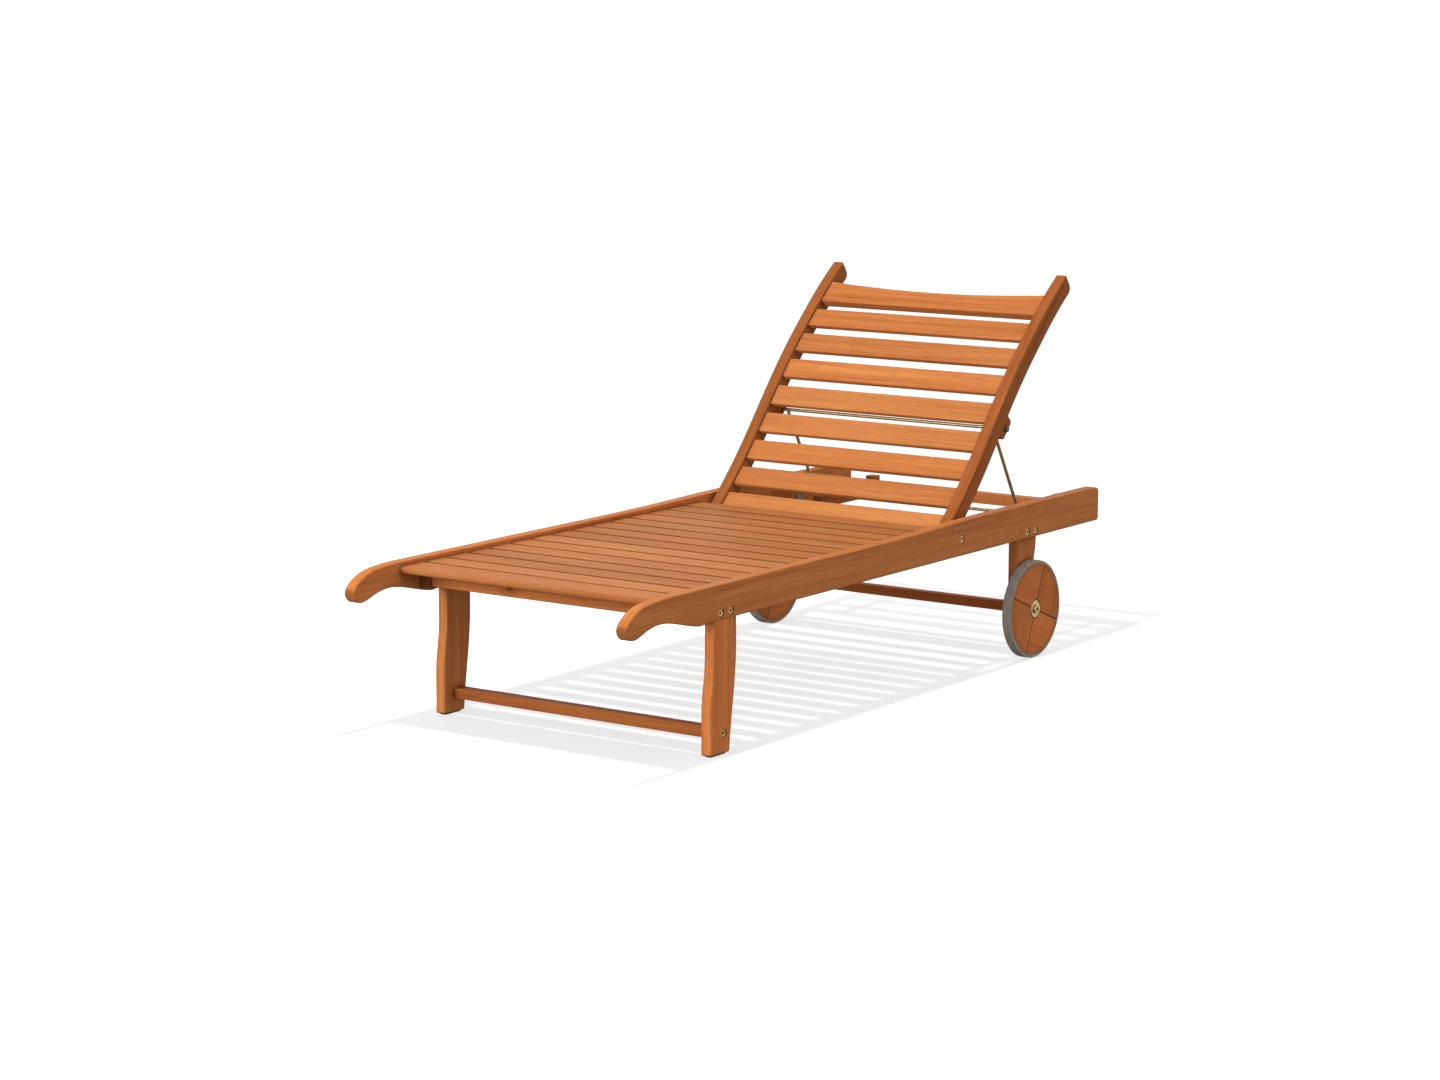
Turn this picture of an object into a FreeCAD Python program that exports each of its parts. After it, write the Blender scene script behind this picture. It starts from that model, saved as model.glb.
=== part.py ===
import FreeCAD, Part
import math
import os

# Reclining sun lounger in slatted hardwood, millimetres.
# +Z is up, +Y runs from the foot end to the head end, +X is the sitter's left as they lie.
# The origin is on the floor, under the middle of the frame.

V = FreeCAD.Vector

# ---------------------------------------------------------------- frame
frame_length = 1854.0        # tip of the scroll to the rear end of a side rail
frame_width = 720.0          # over the outer faces of the side rails
rail_thickness = 26.0
rail_bottom = 278.0          # height of the rails' straight lower edge
rail_height = 73.0           # along the seat
back_rise = 7.0              # the rails are this much deeper beside the backrest
back_rise_length = 640.0     # over this length
back_rise_end = 230.0        # ending this far behind the pivot bolt
rail_ease = 3.0              # rounding of the rails' edges
rear_corner_length = 48.0    # a rail's upper rear corner is rounded over this length
rear_corner_drop = 13.0      # and this height
rear_low_corner = 8.0        # radius of its lower corner

# ---------------------------------------------------------------- seat
seat_overhang = 144.0        # tip of the scroll to the front slat
seat_slat_count = 15
seat_slat_gap = 9.0
seat_slat_thickness = 14.0
front_slat_width = 74.0
seat_recess = 11.0           # slat tops below the rail tops
slat_side_gap = 0.6          # slat end to rail
slat_ease = 2.5
front_slat_nose = 6.0
ledger_thickness = 25.0
ledger_height = 38.0
ledger_front = 210.5         # tip of the scroll to the ledger's front end
apron_front = 217.0          # tip of the scroll to the apron's front face
apron_thickness = 24.0
apron_height = 36.0

# ---------------------------------------------------------------- legs
leg_thickness = 24.0
lap_depth = 13.0             # half-lap pocket in the rail for a leg's tongue
tongue_height = 50.0
tongue_gap = 0.2
front_leg_inset = 295.0      # tip of the scroll to the front leg
front_leg_width = 79.0
front_foot_width = 67.0
front_leg_kick = 12.0        # the leg sweeps forward by this much on its way down
leg_curve_top = 215.0
leg_curve_bottom = 75.0
leg_taper_top = 225.0        # the rear edge tapers to the foot below this height
leg_taper_high = 150.0
leg_taper_low = 60.0
leg_taper_start = 0.15       # share of the taper done down there
foot_chamfer = 3.0
foot_pad_height = 3.0        # plastic glide under the foot
foot_pad_inset = 4.0
foot_pad_round = 4.0
rear_leg_front = 45.0        # in front of the wheel's axis
rear_leg_back = 40.0         # behind it
rear_leg_taper = 12.0
rear_leg_drop = 34.0         # below the wheel's axis
rear_leg_corner = 20.0       # rounding of its lower end
rear_leg_taper_end = 70.0    # the taper ends this far above the wheel's axis
leg_ease = 2.5
stretcher_depth = 33.0
stretcher_height = 22.0
front_stretcher_z = 43.5
front_stretcher_back = 4.0   # from the foot's rear edge to the stretcher
rear_stretcher_depth = 25.0

# ---------------------------------------------------------------- wheels
wheel_radius = 112.5
wheel_setback = 307.0        # axis of the wheels to the rear end of the rails
wheel_width = 22.0
tyre_thickness = 6.5
tyre_crown = 2.0
disc_joint = 0.8             # groove between two quarters of a wheel
disc_turn = 22.0             # how far the quarters stand off the vertical
washer_thickness = 1.5
washer_radius = 12.0
hub_flange_radius = 20.0
hub_flange_thickness = 2.5
hub_round = 1.0
hub_recess_radius = 23.0
hub_recess_depth = 1.5
hub_barrel_radius = 8.0
axle_radius = 5.0
axle_in_stretcher = 28.0
axle_head_radius = 10.0
axle_head_height = 4.0
axle_head_round = 1.2
axle_socket_flats = 8.0
axle_socket_depth = 2.8

# ---------------------------------------------------------------- backrest
pivot_setback = 612.5        # pivot bolt to the rear end of the rails
pivot_height = 315.0
recline = 46.5               # degrees above flat, as the lounger stands
flat_recline = 2.2           # degrees above level with the backrest down on the cross rail
over_recline = 5.0           # the backrest also lifts this much past the way it stands
stile_thickness = 28.0
stile_depth = 42.0
stile_length = 742.0         # pivot bolt to the top of a stile
stile_sweep = 8.0            # the stiles wave this far to each side of straight
sweep_node = 292.0           # where the wave crosses the straight
sweep_length = 675.0         # length of one full wave
tip_curl = 9.0               # the top leans back by this much more
tip_curl_length = 112.0
stile_ease = 3.0
stile_corner = 17.0          # rounding of a stile's upper rear corner
spacer_length = 11.5         # rail to stile
spacer_radius = 9.0
seat_to_pivot = 28.5         # rear edge of the seat to the pivot bolt
back_slat_count = 9
back_slat_first = 27.0       # pivot bolt to the middle of the lowest slat
back_slat_pitch = 76.9
back_slat_width = 53.0
back_slat_thickness = 12.5
back_slat_recess = 6.0       # slat faces behind the stiles' front edges
top_slat_width = 65.0
top_slat_thickness = 20.0
top_slat_hollow = 15.0       # the top edge dips by this much in the middle
tenon_length = 8.0
tenon_shoulder = 3.0
tenon_gap = 0.15

# ---------------------------------------------------------------- prop and racks
rod_radius = 4.0
prop_pivot_along = 331.0     # pivot bolt to the prop's upper bar, along the backrest
prop_pivot_below = 37.0      # and under it
prop_length = 245.5          # upper bar to foot bar
prop_lean = -60.2            # degrees, from the head end's direction down to the prop
prop_ratio = -2.60           # the prop turns this much per degree of recline
prop_inset = 12.5            # stile to the middle of the prop's arm
prop_bend = 8.0
block_thickness = 20.0
block_inset = 1.5            # block to the stile's inner face
block_half_length = 27.0
block_below_rod = 9.0
block_round = 8.0
cap_radius = 7.0
cap_length = 5.5
cap_round = 1.5
rack_thickness = 24.0
rack_arm_gap = 4.0           # arm of the prop to the rack
rack_front = 24.0            # rack's front end to the foot bar, as the lounger stands
rack_clearance = 1.2         # the foot bar clears the rack's teeth by this much
rack_depth = 28.0
rack_stop_height = 14.0      # the rack's rear end stands on the cross rail
rack_step_run = 8.0          # and rises to it over this length
rack_step_height = 4.0
notch_depth = 7.0
notch_reclines = (0.0, -10.0, -20.0, -31.0)
notch_gap = 1.5
cross_rail_depth = 26.0
cross_rail_height = 26.0
cross_rail_setback = 3.0     # cross rail to the rear end of the rails
cross_rail_top = 318.0
cross_rail_ease = 1.5
bracket_thickness = 3.0
bracket_width = 24.0
bracket_height = 26.0
bracket_back = 14.0          # rack's front end to the bracket

# ---------------------------------------------------------------- fasteners
bolt_head_radius = 8.2
bolt_head_height = 3.5
bolt_head_round = 0.8
bolt_dish_radius = 5.5       # the head is dished round its socket
bolt_dish_depth = 1.0
bolt_recess_radius = 9.3
bolt_recess_depth = 5.0
bolt_radius = 4.0
bolt_hole_gap = 0.25
bolt_above_edge = 14.0
bolt_spacing = 35.0
socket_flats = 6.0
socket_depth = 6.0
stretcher_bolt_reach = 32.0  # how far the bolts go into the front stretcher
pivot_radius = 5.0
running_gap = 0.05           # round a turning bolt or bar
free_gap = 0.3               # between pieces that move past each other
pivot_in_stile = 17.0
screw_head_radius = 4.5
screw_radius = 2.25
screw_length = 38.0
screw_cone = 2.6
ledger_screw_count = 5
ledger_screw_margin = 60.0    # from the ledger's ends
slot_width = 1.2
slot_depth = 1.0

# ---------------------------------------------------------------- worked out
half_width = frame_width / 2
rail_inner = half_width - rail_thickness
front_tip = -frame_length / 2
rear_end = frame_length / 2
rail_top = rail_bottom + rail_height
back_top = rail_top + back_rise
axle_y = rear_end - wheel_setback
axle_z = wheel_radius
pivot_y = rear_end - pivot_setback
seat_top = rail_top - seat_recess
seat_under = seat_top - seat_slat_thickness
seat_front = front_tip + seat_overhang
seat_rear = pivot_y - seat_to_pivot
lap_outer = rail_inner + lap_depth
stile_outer = rail_inner - spacer_length
stile_inner = stile_outer - stile_thickness
arm_x = stile_inner - prop_inset
rack_outer = arm_x - rod_radius - rack_arm_gap
rack_inner = rack_outer - rack_thickness
rear_leg_outer = lap_outer
rear_leg_inner = rear_leg_outer - leg_thickness
front_leg_outer = rail_inner + leg_thickness
front_leg_y = front_tip + front_leg_inset
wheel_inner = rear_leg_outer + washer_thickness
wheel_outer = wheel_inner + wheel_width
cross_rail_rear = rear_end - cross_rail_setback
cross_rail_front = cross_rail_rear - cross_rail_depth
front_stretcher_y = front_leg_y - front_leg_kick + front_foot_width - front_stretcher_back
front_stretcher_y -= stretcher_depth / 2

nodes = {}


# ---------------------------------------------------------------- shape helpers
def point(y, z, x=0.0):
    return V(x, y, z)


def line(a, b):
    return Part.makeLine(a, b)


def arc(a, middle, b):
    return Part.Arc(a, middle, b).toShape()


def bezier(*poles):
    curve = Part.BezierCurve()
    curve.setPoles(list(poles))
    return curve.toShape()


def spline(points, start=None, end=None):
    curve = Part.BSplineCurve()
    if start is None:
        curve.interpolate(points)
    else:
        curve.interpolate(Points=points, InitialTangent=start, FinalTangent=end)
    return curve.toShape()


def board(edges, x0, x1):
    """A flat board: an outline in the YZ plane, thickened from x0 to x1."""
    face = Part.Face(Part.Wire(Part.__sortEdges__(edges)))
    face.translate(V(x0, 0, 0))
    solid = face.extrude(V(x1 - x0, 0, 0))
    if solid.Volume < 0:
        solid.reverse()
    return solid


def box(x0, x1, y0, y1, z0, z1):
    return Part.makeBox(x1 - x0, y1 - y0, z1 - z0, V(x0, y0, z0))


def cylinder(radius, x0, x1, y, z):
    """A round bar along X."""
    return Part.makeCylinder(radius, x1 - x0, V(x0, y, z), V(1, 0, 0))


def runs_along(edge, axis):
    a = edge.Vertexes[0].Point
    b = edge.Vertexes[-1].Point
    step = b.sub(a)
    return step.Length > 0 and abs(step.dot(axis)) > 0.999 * step.Length


def ease_along(shape, radius, axis):
    """Rounds the straight edges that run along the axis."""
    picked = [e for e in shape.Edges if runs_along(e, axis)]
    return shape.makeFillet(radius, picked)


def lies_in(edge, x):
    box_ = edge.BoundBox
    return abs(box_.XMin - x) < 1e-4 and abs(box_.XMax - x) < 1e-4


def ease_board(shape, radius, *faces_x):
    """Rounds the outline of a board at the faces at the given x."""
    picked = [e for e in shape.Edges if any(lies_in(e, x) for x in faces_x)]
    return shape.makeFillet(radius, picked)


def mirrored(shape):
    return shape.mirror(V(0, 0, 0), V(1, 0, 0))


def hexagon(flats, x0, x1, y, z):
    """A hexagonal bar along X."""
    reach = flats / math.sqrt(3)
    corners = []
    for i in range(7):
        turn = math.radians(60 * i)
        corners.append(V(x0, y + reach * math.cos(turn), z + reach * math.sin(turn)))
    return Part.Face(Part.makePolygon(corners)).extrude(V(x1 - x0, 0, 0))


def pair(name, shape):
    """The piece as given, on the left side at +X, and its mirror image on the right."""
    nodes[name + "_left"] = shape
    nodes[name + "_right"] = mirrored(shape)


def group(name, shapes):
    """Identical small pieces, each a solid of its own, on both sides."""
    nodes[name] = Part.makeCompound(shapes + [mirrored(s) for s in shapes])


# ---------------------------------------------------------------- backrest's own frame
# In this frame Y runs up the backrest from the pivot bolt and Z stands out of its front.
def stile_middle(along):
    """How far the stile's centre line stands off the straight."""
    wave = stile_sweep * math.sin(2 * math.pi * (along - sweep_node) / sweep_length)
    past = max(0.0, along - (stile_length - tip_curl_length)) / tip_curl_length
    return wave - tip_curl * past ** 2


def stile_slope(along):
    step = 1.0
    return math.atan2(stile_middle(along + step) - stile_middle(along - step), 2 * step)


def stile_edge(along, offset):
    """A point on the stile at this distance from its centre line."""
    slope = stile_slope(along)
    return point(along - offset * math.sin(slope), stile_middle(along) + offset * math.cos(slope))


def on_backrest(shape, angle=recline):
    """Puts a piece from the backrest's own frame in its place."""
    placed = shape.copy()
    placed.rotate(V(0, 0, 0), V(1, 0, 0), angle)
    placed.translate(V(0, pivot_y, pivot_height))
    return placed


def prop_pivot(angle=recline):
    turn = math.radians(angle)
    along = prop_pivot_along
    below = prop_pivot_below
    y = pivot_y + along * math.cos(turn) + below * math.sin(turn)
    z = pivot_height + along * math.sin(turn) - below * math.cos(turn)
    return y, z


def prop_foot(change=0.0):
    """Middle of the foot bar after the backrest turns by this many degrees."""
    y, z = prop_pivot(recline + change)
    lean = math.radians(prop_lean + change * (1 + prop_ratio))
    return y + prop_length * math.cos(lean), z + prop_length * math.sin(lean)


# ---------------------------------------------------------------- side rails
def rail_outline():
    tip = front_tip
    low = rail_bottom
    scroll = [
        (150, rail_height), (95, rail_height - 2.5), (44, rail_height - 11.5),
        (14, rail_height - 27.5), (0, 26), (7, 10.5), (26, 3.8), (58, 11.5),
        (109, 22), (160, 16.5), (205, 5.5), (250, -2.5), (290, 0),
    ]
    points = [point(tip + y, low + z) for y, z in scroll]
    rise_end = pivot_y + back_rise_end
    rise_start = rise_end - back_rise_length
    rise_middle = (rise_start + rise_end) / 2
    corner_y = rear_end - rear_corner_length
    corner_z = back_top - rear_corner_drop
    small_bow = rear_low_corner * (1 - math.sqrt(0.5))
    return [
        spline(points, V(0, -1, 0), V(0, 1, 0)),
        line(points[0], point(rise_start, rail_top)),
        bezier(
            point(rise_start, rail_top), point(rise_middle, rail_top),
            point(rise_middle, back_top), point(rise_end, back_top),
        ),
        line(point(rise_end, back_top), point(corner_y, back_top)),
        bezier(
            point(corner_y, back_top), point(rear_end - rear_corner_drop, back_top),
            point(rear_end, back_top), point(rear_end, corner_z),
        ),
        line(point(rear_end, corner_z), point(rear_end, low + rear_low_corner)),
        arc(
            point(rear_end, low + rear_low_corner),
            point(rear_end - small_bow, low + small_bow),
            point(rear_end - rear_low_corner, low),
        ),
        line(point(rear_end - rear_low_corner, low), points[-1]),
    ]


def bolt_places():
    """Middle of each leg bolt and pivot bolt on a rail."""
    z = rail_bottom + bolt_above_edge
    front = front_leg_y + front_leg_width / 2
    rear = axle_y + (rear_leg_back - rear_leg_front) / 2
    half = bolt_spacing / 2
    return [(front - half, z), (front + half, z), (rear - half, z), (rear + half, z)]


def lap_pocket(y0, y1):
    top = rail_bottom + tongue_height + tongue_gap
    return box(rail_inner - 1, lap_outer, y0 - tongue_gap, y1 + tongue_gap, rail_bottom - 10, top)


def build_rails():
    rail = board(rail_outline(), rail_inner, half_width)
    rail = ease_board(rail, rail_ease, rail_inner, half_width)
    rail = rail.cut(lap_pocket(front_leg_y, front_leg_y + front_leg_width))
    rail = rail.cut(lap_pocket(axle_y - rear_leg_front, axle_y + rear_leg_back))
    cuts = []
    for y, z in bolt_places():
        cuts.append(cylinder(bolt_radius + bolt_hole_gap, rail_inner, half_width, y, z))
        cuts.append(cylinder(bolt_recess_radius, half_width - bolt_recess_depth, half_width + 1, y, z))
    cuts.append(cylinder(pivot_radius + bolt_hole_gap, rail_inner - 1, half_width, pivot_y, pivot_height))
    cuts.append(
        cylinder(
            bolt_recess_radius, half_width - bolt_recess_depth, half_width + 1, pivot_y, pivot_height
        )
    )
    tip = rail_inner - ledger_thickness + screw_length + 1
    for y, z in ledger_screw_places():
        cuts.append(cylinder(screw_radius, rail_inner - 1, tip, y, z))
    cuts.append(cross_rail_tenon(tenon_gap))
    for cut in cuts:
        rail = rail.cut(cut)
    pair("side_rail", rail)


# ---------------------------------------------------------------- fasteners
def cap_bolt(radius, tip_x, y, z, face_x=half_width):
    """A socket-head bolt driven from outside, its head sunk in the face at face_x."""
    seat_x = face_x - bolt_recess_depth
    head_x = seat_x + bolt_head_height
    shank = cylinder(radius, tip_x, seat_x + 1, y, z)
    head = cylinder(bolt_head_radius, seat_x, head_x, y, z)
    rim = [e for e in head.Edges if lies_in(e, head_x)]
    head = head.makeFillet(bolt_head_round, rim)
    dish = Part.makeCone(
        bolt_dish_radius - bolt_dish_depth, bolt_dish_radius, bolt_dish_depth,
        V(head_x - bolt_dish_depth, y, z), V(1, 0, 0),
    )
    bolt = shank.fuse(head).removeSplitter().cut(dish)
    return bolt.cut(hexagon(socket_flats, head_x - socket_depth, head_x + 1, y, z))


def wood_screw(head_x, y, z, gap=0.0):
    """A slotted countersunk screw driven from outside, its head flush with head_x."""
    cone_x = head_x - screw_cone
    shank = cylinder(screw_radius + gap, head_x - screw_length, cone_x + 0.5, y, z)
    head = Part.makeCone(
        screw_radius + gap, screw_head_radius + gap, screw_cone, V(cone_x, y, z), V(1, 0, 0)
    )
    return shank.fuse(head).removeSplitter()


def screw_hole(head_x, y, z):
    return wood_screw(head_x, y, z, tenon_gap).fuse(
        cylinder(screw_head_radius + tenon_gap, head_x, head_x + 5, y, z)
    )


def slotted(screw, head_x, y, z):
    reach = screw_head_radius + 1
    slot = box(head_x - slot_depth, head_x + 1, y - reach, y + reach, z - slot_width / 2, z + slot_width / 2)
    return screw.cut(slot)


def stretcher_bolt_hole():
    y = front_stretcher_y
    z = front_stretcher_z
    shank = cylinder(
        bolt_radius + bolt_hole_gap, rail_inner - stretcher_bolt_reach - 1, front_leg_outer, y, z
    )
    seat = front_leg_outer - bolt_recess_depth
    return shank.fuse(cylinder(bolt_recess_radius, seat, front_leg_outer + 1, y, z))


def ledger_screw_places():
    count = ledger_screw_count
    margin = ledger_screw_margin
    start = front_tip + ledger_front + margin
    step = (seat_rear - margin - start) / (count - 1)
    z = seat_under - ledger_height / 2
    return [(start + i * step, z) for i in range(count)]


def build_fasteners():
    bolts = [cap_bolt(bolt_radius, rail_inner, y, z) for y, z in bolt_places()]
    tip = rail_inner - stretcher_bolt_reach
    y = front_stretcher_y
    bolts.append(cap_bolt(bolt_radius, tip, y, front_stretcher_z, front_leg_outer))
    group("leg_bolts", bolts)
    tip = stile_outer - pivot_in_stile + 1
    group("pivot_bolts", [cap_bolt(pivot_radius, tip, pivot_y, pivot_height)])
    spacer = cylinder(spacer_radius, stile_outer + free_gap, rail_inner, pivot_y, pivot_height)
    spacer = spacer.cut(
        cylinder(pivot_radius + running_gap, stile_outer, rail_inner + 1, pivot_y, pivot_height)
    )
    group("pivot_spacers", [spacer])
    screws = []
    for y, z in ledger_screw_places():
        inward = wood_screw(0.0, y, z)
        inward = slotted(inward, 0.0, y, z)
        inward.rotate(V(0, y, z), V(0, 0, 1), 180)
        inward.translate(V(rail_inner - ledger_thickness, 0, 0))
        screws.append(inward)
    group("ledger_screws", screws)


# ---------------------------------------------------------------- legs and stretchers
def leg_with_tongue(edges, outer, inner, y0, y1):
    """A leg board up to the rail, and its tongue in the rail's pocket."""
    leg = board(edges, inner, outer)
    leg = ease_board(leg, leg_ease, inner, outer)
    trim = box(inner - 1, outer + 1, y0 - 200, y1 + 200, rail_bottom, rail_bottom + 60)
    leg = leg.cut(trim)
    tongue = box(rail_inner, lap_outer - tongue_gap, y0, y1, rail_bottom, rail_bottom + tongue_height)
    leg = leg.fuse(tongue).removeSplitter()
    for y, z in bolt_places():
        leg = leg.cut(cylinder(bolt_radius + bolt_hole_gap, rail_inner - 1, half_width, y, z))
    return leg


def build_front_legs():
    y0 = front_leg_y
    y1 = y0 + front_leg_width
    foot_y0 = y0 - front_leg_kick
    foot_y1 = foot_y0 + front_foot_width
    above = rail_bottom + 20
    middle = (leg_curve_top + leg_curve_bottom) / 2
    low = foot_pad_height
    taper = leg_taper_start * (y1 - foot_y1)
    edges = [
        line(point(y0, above), point(y0, leg_curve_top)),
        bezier(
            point(y0, leg_curve_top), point(y0, middle),
            point(foot_y0, middle), point(foot_y0, leg_curve_bottom),
        ),
        line(point(foot_y0, leg_curve_bottom), point(foot_y0, low + foot_chamfer)),
        line(point(foot_y0, low + foot_chamfer), point(foot_y0 + foot_chamfer, low)),
        line(point(foot_y0 + foot_chamfer, low), point(foot_y1 - foot_chamfer, low)),
        line(point(foot_y1 - foot_chamfer, low), point(foot_y1, low + foot_chamfer)),
        bezier(
            point(foot_y1, low + foot_chamfer), point(foot_y1 + taper, leg_taper_low),
            point(y1, leg_taper_high), point(y1, leg_taper_top),
        ),
        line(point(y1, leg_taper_top), point(y1, above)),
        line(point(y1, above), point(y0, above)),
    ]
    leg = leg_with_tongue(edges, front_leg_outer, rail_inner, y0, y1)
    hole = stretcher_bolt_hole()
    pair("front_leg", leg.cut(hole))
    inset = foot_pad_inset
    pad = box(
        rail_inner + inset, front_leg_outer - inset,
        foot_y0 + foot_chamfer + inset, foot_y1 - foot_chamfer - inset, 0, foot_pad_height,
    )
    pair("foot_pad", ease_along(pad, foot_pad_round, V(0, 0, 1)))
    y = front_stretcher_y
    z = front_stretcher_z
    bar = box(
        -rail_inner, rail_inner, y - stretcher_depth / 2, y + stretcher_depth / 2,
        z - stretcher_height / 2, z + stretcher_height / 2,
    )
    bar = ease_along(bar, leg_ease, V(1, 0, 0))
    nodes["front_stretcher"] = bar.cut(hole).cut(mirrored(hole))


def build_rear_legs():
    y0 = axle_y - rear_leg_front
    y1 = axle_y + rear_leg_back
    bottom = axle_z - rear_leg_drop
    corner = rear_leg_corner
    bow = corner * (1 - math.sqrt(0.5))
    foot_y1 = y1 - rear_leg_taper
    above = rail_bottom + 20
    curve_low = axle_z + rear_leg_taper_end
    curve_middle = (rail_bottom + curve_low) / 2
    edges = [
        line(point(y0, above), point(y0, bottom + corner)),
        arc(point(y0, bottom + corner), point(y0 + bow, bottom + bow), point(y0 + corner, bottom)),
        line(point(y0 + corner, bottom), point(foot_y1 - corner, bottom)),
        arc(
            point(foot_y1 - corner, bottom),
            point(foot_y1 - bow, bottom + bow),
            point(foot_y1, bottom + corner),
        ),
        line(point(foot_y1, bottom + corner), point(foot_y1, curve_low)),
        bezier(
            point(foot_y1, curve_low), point(foot_y1, curve_middle),
            point(y1, curve_middle), point(y1, rail_bottom),
        ),
        line(point(y1, rail_bottom), point(y1, above)),
        line(point(y1, above), point(y0, above)),
    ]
    leg = leg_with_tongue(edges, rear_leg_outer, rear_leg_inner, y0, y1)
    axle_hole = cylinder(axle_radius + bolt_hole_gap, rear_leg_inner - 1, rear_leg_outer + 1, axle_y, axle_z)
    pair("rear_leg", leg.cut(axle_hole))
    bar = box(
        -rear_leg_inner, rear_leg_inner,
        axle_y - rear_stretcher_depth / 2, axle_y + rear_stretcher_depth / 2,
        axle_z - stretcher_height / 2, axle_z + stretcher_height / 2,
    )
    bar = ease_along(bar, leg_ease, V(1, 0, 0))
    hole = cylinder(
        axle_radius + bolt_hole_gap, rear_leg_inner - axle_in_stretcher - 1, rear_leg_inner + 1,
        axle_y, axle_z,
    )
    nodes["rear_stretcher"] = bar.cut(hole).cut(mirrored(hole))


# ---------------------------------------------------------------- seat
def build_seat():
    count = seat_slat_count
    room = seat_rear - seat_front - front_slat_width - (count - 1) * seat_slat_gap
    width = room / (count - 1)
    reach = rail_inner - slat_side_gap
    y = seat_front
    for i in range(count):
        wide = front_slat_width if i == 0 else width
        slat = box(-reach, reach, y, y + wide, seat_under, seat_top)
        if i == 0:
            nose = [e for e in slat.Edges if runs_along(e, V(1, 0, 0)) and e.BoundBox.YMax < y + 1]
            slat = slat.makeFillet(front_slat_nose, nose)
        else:
            slat = ease_along(slat, slat_ease, V(1, 0, 0))
        nodes["seat_slat_%02d" % (i + 1)] = slat
        y += wide + seat_slat_gap
    ledger = box(
        rail_inner - ledger_thickness, rail_inner, front_tip + ledger_front, seat_rear,
        seat_under - ledger_height, seat_under,
    )
    for y, z in ledger_screw_places():
        hole = screw_hole(0.0, y, z)
        hole.rotate(V(0, y, z), V(0, 0, 1), 180)
        hole.translate(V(rail_inner - ledger_thickness, 0, 0))
        ledger = ledger.cut(hole)
    pair("ledger", ledger)
    inner = rail_inner - ledger_thickness
    apron_y = front_tip + apron_front
    apron = box(-inner, inner, apron_y, apron_y + apron_thickness, seat_under - apron_height, seat_under)
    apron_edges = [
        e for e in apron.Edges
        if runs_along(e, V(1, 0, 0)) and e.BoundBox.ZMax < seat_under - 1
    ]
    nodes["front_apron"] = apron.makeFillet(slat_ease, apron_edges)


# ---------------------------------------------------------------- backrest
def stile_board():
    """A stile in the backrest's own frame, before its mortises."""
    half = stile_depth / 2
    steps = 9
    low = 0.0
    high = stile_length - half
    along = [low + (high - low) * i / steps for i in range(steps + 1)]
    front = [stile_edge(a, half) for a in along]
    back = [stile_edge(a, -half) for a in along]
    corner = stile_corner
    slope = stile_slope(high)
    up = V(0, math.cos(slope), math.sin(slope))
    out = V(0, -math.sin(slope), math.cos(slope))
    top_front = front[-1].add(up * half)
    top_back = back[-1].add(up * (half - corner))
    top_turn = back[-1].add(up * half).add(out * corner)
    bow = corner * (1 - math.sqrt(0.5))
    top_middle = back[-1].add(up * (half - bow)).add(out * bow)
    bottom = point(-half * math.cos(stile_slope(0.0)), stile_middle(0.0) - half * math.sin(stile_slope(0.0)))
    edges = [
        spline(front),
        line(front[-1], top_front),
        line(top_front, top_turn),
        arc(top_turn, top_middle, top_back),
        line(top_back, back[-1]),
        spline(back),
        arc(back[0], bottom, front[0]),
    ]
    return edges


def slat_places():
    """Middle, width and thickness of each back slat, lowest first."""
    places = []
    for i in range(back_slat_count - 1):
        along = back_slat_first + i * back_slat_pitch
        places.append((along, back_slat_width, back_slat_thickness))
    last_edge = places[-1][0] + back_slat_width / 2
    gap = back_slat_pitch - back_slat_width
    places.append((last_edge + gap + top_slat_width / 2, top_slat_width, top_slat_thickness))
    return places


def seated_on_stile(shape, along):
    """Moves a piece made about the origin to the stile's front edge."""
    placed = shape.copy()
    seat = stile_edge(along, stile_depth / 2 - back_slat_recess)
    placed.rotate(V(0, 0, 0), V(1, 0, 0), math.degrees(stile_slope(along)))
    placed.translate(seat)
    return placed


def back_slat(width, thickness, hollow):
    half = width / 2
    slat = box(-stile_inner, stile_inner, -half, half, -thickness, 0)
    if hollow > 0:
        radius = (stile_inner ** 2 + hollow ** 2) / (2 * hollow)
        hole = Part.makeCylinder(
            radius, thickness + 2, V(0, half - hollow + radius, -thickness - 1), V(0, 0, 1)
        )
        slat = slat.cut(hole)
        low = [e for e in slat.Edges if runs_along(e, V(1, 0, 0)) and e.BoundBox.YMax < 0]
        high = [e for e in slat.Edges if e.BoundBox.XLength > stile_inner and e.BoundBox.YMin > 0]
        slat = slat.makeFillet(slat_ease, low + high)
    else:
        slat = ease_along(slat, slat_ease, V(1, 0, 0))
    return slat


def tenon(width, thickness, gap):
    """Both tenons of a slat as one bar through it."""
    half = width / 2 - tenon_shoulder + gap
    reach = stile_inner + tenon_length + gap
    low = -thickness + tenon_shoulder - gap
    return box(-reach, reach, -half, half, low, -tenon_shoulder + gap)


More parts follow.
